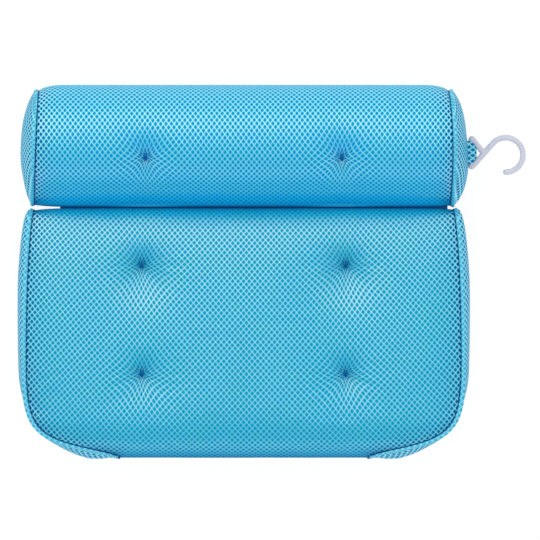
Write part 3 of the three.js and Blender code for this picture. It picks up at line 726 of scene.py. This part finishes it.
# Covers, with where their cloth carries painted shade (darker holes, darker and duller yarn) and painted
# highlight (paler yarn); a fade is its share, its run and its power
shading = dict(
    # painted shade in the holes along the seams, in the fold and at the pad's foot
    seam=(0.95, 9 * mm, 1.3), fold=(0.9, 3.6 * mm, 1.5), foot=(0.5, 21 * mm), footEdge=(0.45, 12 * mm),
    # painted shade in the holes of each pit
    pit=0.9, pitAbove=3.2 * mm, pitBelow=7 * mm, pitPower=1.5, pitLift=2.5 * mm,
    pitDull=(0.9, 5 * mm), wallDull=(1, 18 * mm),  # painted shade in a tuft, and on the wall above it
    # painted shade on the yarn in the fold and low on the pad
    foldSoft=0.42, foldSharp=0.95, foldPower=6, foldTaper=0.5, taperPower=6, lowFrom=100 * mm, lowRun=60 * mm,
    lit=(0.04, 0.3), gleamAt=27 * mm, gleamRun=12 * mm,  # painted highlight on the top slope, and below a tuft
    foldPlain=(0.9, 4.5 * mm, 4),  # where the holes close
)


def seamDistance(form, smooth):
    seams = KDTree(2 * len(smooth))
    for index, place in enumerate(np.concatenate([seamLine(form, side) for side, _ in bothSides])):
        seams.insert(place, index)
    seams.balance()
    return np.array([[seams.find(place)[2] for place in row] for row in smooth])


def coverTints(form, x, smooth):
    toFold, toFoot, ny = foldDistance(form), footDistance(form)[:, None], form["ny"][:, None]
    # painted shade in the holes: along the seams, in the fold, at the pad's bottom edge
    foot = spot(toFoot, *shading["foot"]) + spot(toFoot, *shading["footEdge"])
    shade = np.maximum(spot(seamDistance(form, smooth), *shading["seam"]), spot(toFold, *shading["fold"]))
    shade = np.maximum(shade, form["foot"] * foot)
    ends = (np.abs(x) / np.abs(x).max()) ** shading["taperPower"]
    sharpRun = form["foldSharp"] * (1 - shading["foldTaper"] * ends)
    low = np.clip((-form["y"][:, None] - shading["lowFrom"]) / shading["lowRun"], 0, 1)
    # painted shade on the yarn: turned from the softbox, low on the pad, and in the fold
    fromLight = eased((-ny - form["dullFrom"]) / (1 - form["dullFrom"]))  # turned from the softbox
    dull = np.maximum(form["dullShare"] * fromLight, form["lowDull"] * low)
    dull = np.maximum(dull, spot(toFold, shading["foldSoft"], form["foldDull"]))
    dull = np.maximum(dull, spot(toFold, shading["foldSharp"], sharpRun, shading["foldPower"]))
    # painted highlight on the pad's top slope and below the upper tufts
    litFrom, litFull = shading["lit"]
    toLight = eased((ny - litFrom) / (litFull - litFrom))
    lit = np.where(form["nz"][:, None] > 0, form["litShare"] * toLight, 0) + 0 * x
    for row, dx, dy, away in tuftOffsets(form, smooth):
        # painted shade in and above each tuft, painted highlight below it
        below = 0.5 - 0.5 * dy / (away + sewing["soften"])
        lifted = np.hypot(dx, dy - shading["pitLift"])
        pitRun = shading["pitAbove"] * (1 - below) + shading["pitBelow"] * below
        shade = np.maximum(shade, spot(lifted, shading["pit"], pitRun, shading["pitPower"]))
        dull = np.maximum(dull, (1 - below) ** 2 * spot(away, *shading["wallDull"]))
        dull = np.maximum(dull, spot(lifted, *shading["pitDull"]))
        slope = spot(away - shading["gleamAt"], form["gleam"][row], shading["gleamRun"])
        lit = np.maximum(lit, below ** 2 * slope)
    plain = spot(toFold, *shading["foldPlain"]) + 0 * x
    return dict(seamShade=shade, plain=plain, dull=dull, lit=lit)


def buildCover(form, name, material, makeForm):
    x, smooth, points = coverGrid(form)
    u, v = clothMap(form, x, smooth)
    pushOut(form, x, points, makeForm)
    corners = gridCorners(*x.shape, closed=True)
    wrap = np.where(corners[2][0] == 0, form["length"], 0)  # the cloth's end meets its start on the fold line
    faces = gridFaces(corners, x.shape[1])[:, ::form["facing"]]
    clothUv = gridUv(corners, u, v, wrap)[:, ::form["facing"]]
    return clothObject(name, intoFrame(points), faces, clothUv, coverTints(form, x, smooth), material)


# End panels: a rolled edge along each seam, and the swell between
panel = dict(
    radius=2.1 * mm, out=2.3 * mm, up=-0.2 * mm, start=205, end=-35, steps=9,  # the rolled edge, in degrees
    rows=40, inset=0.12, valley=0.7 * mm, valleyRun=0.05, tabPull=(0.3 * mm, 9 * mm),
    # shade and seam: painted shade in the panel's holes, darker at the seam
    plain=(0.8, 8.5 * mm, 4), shade=0.6, seam=(0.2, 1.6 * mm),
)


def panelOutward(form, side, half, seam):  # which way the panel swells at each station, level with the floor
    k = np.arange(len(seam[0]))
    before, after = np.maximum(0, k - 1), np.minimum(k[-1], k + 1)
    line = (seam[0] + seam[1])[:, :2] / 2 * (side, 1)
    level = [line[before, 1] - line[after, 1], line[after, 0] - line[before, 0], 0 * k]
    out = unit(np.stack(level, axis=-1))
    towards = out[:, 0] * half[k] + out[:, 1] * (form["y"][k] - form["y"].mean())
    return out * np.sign(towards)[:, None] * np.array([side, 1, 1])


def panelGrid(form, side, word):
    count = len(form["y"])
    k = np.arange(count // 2 + 1)
    pair = [k, (count - k) % count]  # stations that face each other across the panel
    seam = [seamLine(form, side)[stations] for stations in pair]
    out = panelOutward(form, side, form[word], seam)
    edge, swell = form["edge"][k][:, None], form[word + "Swell"][k][:, None]
    size = edge / sewing["edge"]
    turns = np.radians(np.linspace(panel["start"], panel["end"], panel["steps"]))
    rolled = []
    for line, stations in zip(seam, pair):
        up = np.stack([0 * k, form["ny"][stations], form["nz"][stations]], axis=-1)
        rolled.append([line + out * size * (panel["out"] + panel["radius"] * math.cos(turn))
                       + up * size * (panel["up"] + panel["radius"] * math.sin(turn)) for turn in turns])
    middle = []
    for share in (1 - np.cos(np.linspace(panel["inset"], math.pi - panel["inset"], panel["rows"]))) / 2:
        valley = size * spot(min(share, 1 - share), panel["valley"], panel["valleyRun"])
        lift = edge + swell * 4 * share * (1 - share) - valley
        row = seam[0] * (1 - share) + seam[1] * share
        if form["name"] == "headrest" and side > 0:  # the tab draws the panel out
            away = np.hypot(row[:, 1] + foldY - eyeBar.y, row[:, 2] - eyeBar.z)
            lift = lift + spot(away, *panel["tabPull"])[:, None]
        middle.append(row + out * lift)
    return np.stack([seam[0], *rolled[0], *middle, *rolled[1][::-1], seam[1]], axis=1)


def buildPanel(form, name, side, word, material):
    grid = panelGrid(form, side, word)
    v = summed(lengths(grid, axis=1))
    v -= v[:, [-1]] / 2
    path = grid[:, grid.shape[1] // 2, :2]
    u = summed(lengths(path, axis=0))[:, None] + 0 * v
    corners = gridCorners(*v.shape)
    way = side * form["facing"]
    faces, clothUv = gridFaces(corners, v.shape[1])[:, ::way], gridUv(corners, u, v)[:, ::way]
    toSeam = np.minimum(v - v[:, [0]], v[:, [-1]] - v)
    # painted shade in the holes, darker along the seam
    tints = dict(seamShade=panel["shade"] + spot(toSeam, *panel["seam"]), plain=spot(toSeam, *panel["plain"]))
    return clothObject(name, intoFrame(grid), faces, clothUv, tints, material)


def pick(piece, *others):
    bpy.ops.object.select_all(action="DESELECT")
    for each in (piece, *others):
        each.select_set(True)
    bpy.context.view_layer.objects.active = piece


def thicken(piece, depth, offset=-1):
    pick(piece)
    wall = piece.modifiers.new("wall", "SOLIDIFY")
    wall.thickness = depth
    wall.offset = offset
    bpy.ops.object.modifier_apply(modifier=wall.name)


def editWhole():
    bpy.ops.object.mode_set(mode="EDIT")
    bpy.ops.mesh.select_all(action="SELECT")


def mergeDoubles(piece):
    pick(piece)
    editWhole()
    bpy.ops.mesh.remove_doubles(threshold=0.01 * mm)
    bpy.ops.mesh.dissolve_degenerate(threshold=0.005 * mm)
    bpy.ops.object.mode_set(mode="OBJECT")


rollShape, padShape = rollForm(), padForm()
covers = {
    "headrest": buildCover(rollShape, "headrestCover", rollMesh, rollForm),
    "backrest": buildCover(padShape, "backrestCover", padMesh, padForm),
}
for body, cover in covers.items():
    thicken(cover, sewing["cloth"])
    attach(cover, body)
    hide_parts(body + "_cover")
print("covers built")


endPanels = [(rollShape, "headrest_end_panel"), (padShape, "backrest_gusset")]
for form, kind in endPanels:
    for side, word in bothSides:
        piece = buildPanel(form, kind.title().replace("_", "") + word.title(), side, word, edgeMesh)
        mergeDoubles(piece)
        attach(piece, form["name"])
        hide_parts(kind + "_" + word)
print("end panels built")


# Filling: the same forms again, smaller, as closed bodies of fibre
filling = dict(inset=3.4 * mm, ends=4 * mm, steps=96, columns=44)


def buildFill(form, name):
    shorter = {word: form[word] - filling["ends"] for _, word in bothSides}
    x, _, points = coverGrid(dict(form, **shorter), filling["inset"])
    rows, columns = x.shape
    sleeve = gridFaces(gridCorners(rows, columns, closed=True), columns)
    k = np.arange(rows // 2)
    facing, beyond = (rows - k) % rows, (rows - k - 1) % rows  # the stations across the end
    right = np.stack([k, k + 1, beyond, facing], axis=-1) * columns + columns - 1
    left = np.stack([k, facing, beyond, k + 1], axis=-1) * columns
    faces = np.concatenate([sleeve, right, left])
    return meshObject(name, intoFrame(points), faces[:, ::form["facing"]], stuffing)


coarse = dict(steps=filling["steps"], columns=filling["columns"])
for form, body in ((rollForm(**coarse), "headrest"), (padForm(**coarse), "backrest")):
    piece = buildFill(form, body + "Filling")
    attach(piece, body)
    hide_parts(body + "_fill")
print("filling built")


# Sewing: wavy thread in each end seam, and the tape and stitches of the fold line
thread = dict(
    radius=0.7 * mm, wave=0.9 * mm, waveLength=5.2 * mm, out=0.5 * mm, up=0.35 * mm, step=0.8 * mm, sides=6)
fold = dict(
    left=153 * mm, right=158 * mm, tapeRight=170 * mm, width=2.6 * mm, cloth=1.0 * mm, tapeCuts=6,
    stitch=3.4 * mm, rise=0.75 * mm, flatten=1.8, thread=0.5 * mm, step=0.4 * mm, sides=6)


def sweep(name, path, radius, sides, closed, material):
    path = np.asarray(path)
    ahead = np.roll(path, -1, axis=0) - np.roll(path, 1, axis=0)
    if not closed:
        ahead[0], ahead[-1] = path[1] - path[0], path[-1] - path[-2]
    ahead = unit(ahead)
    side = np.cross(ahead[0], (0.3, 0.5, 0.8))  # a way that no path starts along
    across = []
    for way in ahead:  # carry the section along without twisting it
        side = unit(side - way * np.dot(side, way))
        across.append(side)
    across = np.array(across)
    other = np.cross(ahead, across)
    turns = np.linspace(0, 2 * math.pi, sides, endpoint=False)
    ring = across[:, None] * np.cos(turns)[None, :, None] + other[:, None] * np.sin(turns)[None, :, None]
    points = (path[:, None] + ring * radius).reshape(-1, 3)
    count = len(path)
    i, j = np.meshgrid(np.arange(count if closed else count - 1), np.arange(sides), indexing="ij")
    after, beside = (i + 1) % count, (j + 1) % sides
    faces = np.stack([i * sides + j, i * sides + beside, after * sides + beside, after * sides + j], axis=-1)
    faces = faces.reshape(-1, 4).tolist()
    if not closed:
        faces += [list(range(sides))[::-1], [(count - 1) * sides + place for place in range(sides)]]
    return meshObject(name, points, faces, material)


def resample(path, step):
    run = summed(lengths(path, axis=0))
    at = np.linspace(0, run[-1], int(run[-1] / step))
    return np.stack([np.interp(at, run, path[:, axis]) for axis in range(3)], axis=1), at


def seamThread(form, side, name):
    out = np.array([side, 0, 0])
    normals = np.stack([0 * form["ny"], form["ny"], form["nz"]], axis=1)
    seam = seamLine(form, side) + out * thread["out"] + normals * thread["up"]
    path, at = resample(np.concatenate([seam, seam[:1]]), thread["step"])
    waves = round(at[-1] / thread["waveLength"])
    sway = thread["wave"] * np.sin(at / at[-1] * waves * 2 * math.pi)
    path = intoFrame(path + out * sway[:, None])
    return sweep(name, path[:-1], thread["radius"], thread["sides"], True, navyThread)


for form, kind in endPanels:
    for side, word in bothSides:
        piece = seamThread(form, side, kind.split("_")[0] + "SeamThread" + word.title())
        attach(piece, form["name"])


def foldTape():
    middle = midX + (fold["tapeRight"] - fold["left"]) / 2
    bpy.ops.mesh.primitive_plane_add(size=1, location=(middle, foldY, foldZ))
    piece = bpy.context.object
    piece.name = "foldTape"
    piece.scale = (fold["left"] + fold["tapeRight"], fold["width"], 1)
    bpy.ops.object.transform_apply(location=True, rotation=False, scale=True)
    editWhole()
    bpy.ops.mesh.subdivide(number_cuts=fold["tapeCuts"])
    bpy.ops.object.mode_set(mode="OBJECT")
    thicken(piece, fold["cloth"], offset=0)
    piece.data.materials.append(navyThread)
    return piece


def foldStitches():
    x = np.arange(-fold["left"], fold["right"], fold["step"])
    lift = np.clip(fold["flatten"] * np.sin(x / fold["stitch"] * math.pi), -1, 1) * fold["rise"]
    path = np.stack([x + midX, foldY + 0 * x, foldZ + lift], axis=1)
    return sweep("foldStitches", path, fold["thread"], fold["sides"], False, navyThread)


tape, stitches = foldTape(), foldStitches()
for piece in (tape, stitches):
    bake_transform(piece)
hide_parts("fold_stitching")
print("seams sewn")


# Suction cups, each with its eye and the cord that ties it to the tuft
cup = dict(
    lip=4 * mm, lipEdge=0.9 * mm, wall=2.6 * mm, dome=9.5 * mm, shoulder=0.6, neck=4.5 * mm, steps=64,
    rimInset=0.05 * mm, rimRound=0.3 * mm, rimTop=(0.35 * mm, 0.25 * mm), neckTop=(0.6 * mm, 0.5 * mm),
    fillet=[(1.2 * mm, 0), (0.3 * mm, 0.4 * mm), (0, 1 * mm)],  # out from the neck, up from the dome
    eye=2.8 * mm, eyeBar=1.1 * mm, eyeSegments=(36, 14), sink=0.8 * mm, sharp=40,
)
cord = dict(
    radius=0.8 * mm, loop=2.8 * mm, loopTurns=40, strand=12, sides=8,
    knot=0.62 * mm, knotTurns=66, thinner=0.8,  # the knot is pulled tight
)
cupRows = {"headrest": (rollShape, 0), "upper": (padShape, 0), "lower": (padShape, 1)}


def bowed(start, bend, end, count):  # a curve from start to end, drawn towards bend
    shares = [k / count for k in range(count + 1)]
    return [tuple((1 - t) ** 2 * a + 2 * t * (1 - t) * b + t * t * c for a, b, c in zip(start, bend, end))
            for t in shares]


def cupProfile(rim, neckTop):
    dome, edge, neck = cup["dome"], cup["lipEdge"], cup["neck"]
    hollow, bend, side = dome - cup["wall"], rim * cup["shoulder"], rim - cup["rimInset"]
    foot, *climb = [(neck + out, dome + up) for out, up in cup["fillet"]]
    profile = bowed((0, hollow), (bend, hollow), (rim - cup["lip"], 0), count=12)
    profile += [(side - cup["rimRound"], 0), (side, cup["rimRound"]), (side, edge - cup["rimTop"][1])]
    profile += bowed((side - cup["rimTop"][0], edge), (bend, dome), foot, count=14)
    if neckTop > climb[-1][1]:
        profile += [*climb, (neck, neckTop - cup["neckTop"][1])]
    else:
        profile.append((neck, neckTop))
    return profile + [(neck - cup["neckTop"][0], neckTop), (0, neckTop)]


def spinProfile(name, profile, centre, steps):
    start = Vector((centre.x + profile[0][0], centre.y, centre.z + profile[0][1]))
    bpy.ops.mesh.primitive_plane_add(size=mm, location=start)
    piece = bpy.context.object
    piece.name = name
    editWhole()
    bpy.ops.mesh.merge(type="CENTER")
    for (r0, z0), (r1, z1) in zip(profile, profile[1:]):
        bpy.ops.mesh.extrude_region_move(TRANSFORM_OT_translate={"value": (r1 - r0, 0, z1 - z0)})
    bpy.ops.mesh.select_all(action="SELECT")
    bpy.ops.mesh.spin(steps=steps, angle=2 * math.pi, center=centre, axis=(0, 0, 1))
    bpy.ops.mesh.select_all(action="SELECT")
    bpy.ops.mesh.remove_doubles(threshold=0.01 * mm)
    bpy.ops.mesh.normals_make_consistent(inside=False)
    bpy.ops.object.mode_set(mode="OBJECT")
    bpy.ops.object.transform_apply(location=True, rotation=True, scale=True)
    return piece


def buildCup(node, name):
    low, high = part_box(node)
    centre = Vector(((low.x + high.x) / 2, (low.y + high.y) / 2, 0))
    eyeZ = high.z - cup["eye"] - cup["eyeBar"]
    neckTop = eyeZ - cup["eye"] - cup["eyeBar"] + cup["sink"]
    piece = spinProfile(name, cupProfile((high.x - low.x) / 2, neckTop), centre, cup["steps"])
    major, minor = cup["eyeSegments"]
    bpy.ops.mesh.primitive_torus_add(
        location=centre + Vector((0, 0, eyeZ)), rotation=(math.pi / 2, 0, 0),
        major_segments=major, minor_segments=minor, major_radius=cup["eye"], minor_radius=cup["eyeBar"])
    eye = bpy.context.object
    pick(piece)
    join = piece.modifiers.new("eye", "BOOLEAN")
    join.operation = "UNION"
    join.object = eye
    bpy.ops.object.modifier_apply(modifier=join.name)
    bpy.data.objects.remove(eye)
    bpy.ops.object.shade_smooth_by_angle(angle=math.radians(cup["sharp"]))
    piece.data.materials.append(vinyl)
    return piece


def pitBottom(form, side, row):  # how high the face of the cover lies at a tuft
    _, smooth, points = coverGrid(form)
    away = np.hypot(smooth[..., 0] - side * form["tuftX"], smooth[..., 1] - form["tuftY"][row])
    away = np.where(form["nz"][:, None] > 0, away, 1)
    return points[np.unravel_index(np.argmin(away), away.shape)][2]


def buildCord(node, name, top):
    low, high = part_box(node)
    x, y = (low.x + high.x) / 2, (low.y + high.y) / 2
    loopZ = low.z + cord["radius"] + cord["loop"]
    turns = np.linspace(math.pi / 2, 2.5 * math.pi, cord["loopTurns"])[1:-1]
    loop = [(x, y + cord["loop"] * math.cos(turn), loopZ + cord["loop"] * math.sin(turn)) for turn in turns]
    strand = [(x, y, z) for z in np.linspace(loopZ + cord["loop"], top, cord["strand"])[1:]]
    t = np.linspace(0, 2 * math.pi, cord["knotTurns"], endpoint=False)
    knot = np.stack([np.sin(t) + 2 * np.sin(2 * t), np.cos(t) - 2 * np.cos(2 * t), -np.sin(3 * t)], axis=1)
    knot = knot * cord["knot"] + (x, y, top + cord["knot"])
    knotRing = sweep(name + "Knot", knot, cord["radius"] * cord["thinner"], cord["sides"], True, twine)
    piece = sweep(name, loop + strand, cord["radius"], cord["sides"], False, twine)
    pick(piece, knotRing)
    bpy.ops.object.join()
    return piece


for row, (form, place) in cupRows.items():
    body = form["name"]
    for side, word in bothSides:
        label = row.title() + word.title()
        node = "suction_cup_" + row + "_" + word
        piece = buildCup(node, "suctionCup" + label)
        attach(piece, body)
        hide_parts(node)
        node = "tuft_cord_" + row + "_" + word
        piece = buildCord(node, "tuftCord" + label, pitBottom(form, side, place))
        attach(piece, body)
        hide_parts(node)
print("cups tied on")


# Hanging hook: one rod, bent to an eye and a crook
hook = dict(
    rod=4.9 * mm, eyeLength=25 * mm, eyeDepth=10.5 * mm, corner=1.4 * mm, crook=14.4 * mm, reach=28.7 * mm,
    rise=10.7 * mm, sides=24, tipRings=16, cornerSteps=14, crookSteps=48, voxel=0.4 * mm, smoothing=8,
)


def pushRod(way):
    bpy.ops.mesh.extrude_region_move(TRANSFORM_OT_translate={"value": way})


def bendRod(centre, turn, steps):
    bpy.ops.mesh.spin(steps=steps, angle=-turn, center=eyeBar + centre, axis=(0, 0, 1))


def bendCorner(point, before, after):
    turn = before.angle(after)
    radius = hook["corner"] / math.tan(turn / 2)
    centre = point + (after - before).normalized() * math.hypot(hook["corner"], radius)
    bendRod(centre, turn, hook["cornerSteps"])


def buildHook():
    lower = Vector((0, -hook["eyeLength"] / 2, 0))
    upper = -lower
    centre = lower + Vector((hook["reach"], hook["rise"], 0))
    toCentre = centre - lower
    shaftTurn = math.atan2(toCentre.y, toCentre.x) + math.asin(hook["crook"] / toCentre.length)
    along = Vector((math.cos(shaftTurn), math.sin(shaftTurn), 0))
    shaft = math.sqrt(toCentre.length_squared - hook["crook"] ** 2)
    meeting = lower + along * (hook["eyeDepth"] / along.x)
    arm = (upper - meeting).normalized()
    down = Vector((0, -1, 0))
    bpy.ops.mesh.primitive_circle_add(
        vertices=hook["sides"], radius=hook["rod"] / 2, fill_type="NGON",
        location=eyeBar + meeting, rotation=arm.to_track_quat("Z", "Y").to_euler())
    piece = bpy.context.object
    piece.name = "hangingHook"
    editWhole()
    pushRod(arm * ((upper - meeting).length - hook["corner"]))
    bendCorner(upper, arm, down)
    pushRod(down * (hook["eyeLength"] - 2 * hook["corner"]))
    bendCorner(lower, down, along)
    pushRod(along * (shaft - hook["corner"]))
    bendRod(centre, -(shaftTurn + math.pi), hook["crookSteps"])
    tip = centre + Vector((0, -hook["crook"], 0))
    bpy.ops.mesh.select_all(action="DESELECT")
    bpy.ops.mesh.primitive_uv_sphere_add(
        segments=hook["sides"], ring_count=hook["tipRings"], radius=hook["rod"] / 2, location=eyeBar + tip)
    bpy.ops.object.mode_set(mode="OBJECT")
    bpy.ops.object.transform_apply(location=True, rotation=True, scale=True)
    remesh = piece.modifiers.new("fuse", "REMESH")
    remesh.mode = "VOXEL"
    remesh.voxel_size = hook["voxel"]
    bpy.ops.object.modifier_apply(modifier=remesh.name)
    ease = piece.modifiers.new("ease", "SMOOTH")
    ease.iterations = hook["smoothing"]
    bpy.ops.object.modifier_apply(modifier=ease.name)
    piece.data.shade_smooth()
    piece.data.materials.append(plastic)
    return piece


piece = buildHook()
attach(piece, "hook")
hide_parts("hanging_hook")
print("hook bent")


# Hook tab: a strip of the same mesh, folded round the bar of the eye
tab = dict(
    tail=8 * mm, gap=0.3 * mm, cloth=1.7 * mm, root=4.2 * mm, tailRows=9, noseRows=17, columns=19,
    rootHalf=11.5 * mm, barHalf=8.8 * mm, noseHalf=3.6 * mm, nosePower=1.6, shade=0.55,
)


def buildTab():
    radius = hook["rod"] / 2 + tab["gap"] + tab["cloth"] / 2
    turns = np.linspace(math.pi / 2, -math.pi / 2, tab["noseRows"])
    tails = np.linspace(-tab["tail"], 0, tab["tailRows"])[:-1]
    spread = radius + (tab["root"] - radius) * (tails / tab["tail"]) ** 2
    x = np.concatenate([tails, radius * np.cos(turns), tails[::-1]])
    z = np.concatenate([spread, radius * np.sin(turns), -spread[::-1]])
    run = summed(np.hypot(np.diff(x), np.diff(z)))
    toNose = np.clip(x / radius, 0, 1)
    toRoot = np.clip(-x / tab["tail"], 0, 1)
    half = tab["barHalf"] + (tab["rootHalf"] - tab["barHalf"]) * toRoot
    half = half - (tab["barHalf"] - tab["noseHalf"]) * toNose ** tab["nosePower"]
    across = np.linspace(-1, 1, tab["columns"])
    u, v = half[:, None] * across, run[:, None] + 0 * across
    points = np.stack([x[:, None] + 0 * across, u, z[:, None] + 0 * across], axis=-1) + np.array(eyeBar)
    corners = gridCorners(*u.shape)
    faces, clothUv = gridFaces(corners, u.shape[1])[:, ::-1], gridUv(corners, u, v)[:, ::-1]
    # painted shade in the tab's holes
    tints = dict(seamShade=tab["shade"])
    piece = clothObject("hookTab", points.reshape(-1, 3), faces, clothUv, tints, edgeMesh)
    thicken(piece, tab["cloth"], offset=0)
    return piece


piece = buildTab()
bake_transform(piece)
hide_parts("hook_tab")
print("tab sewn on")
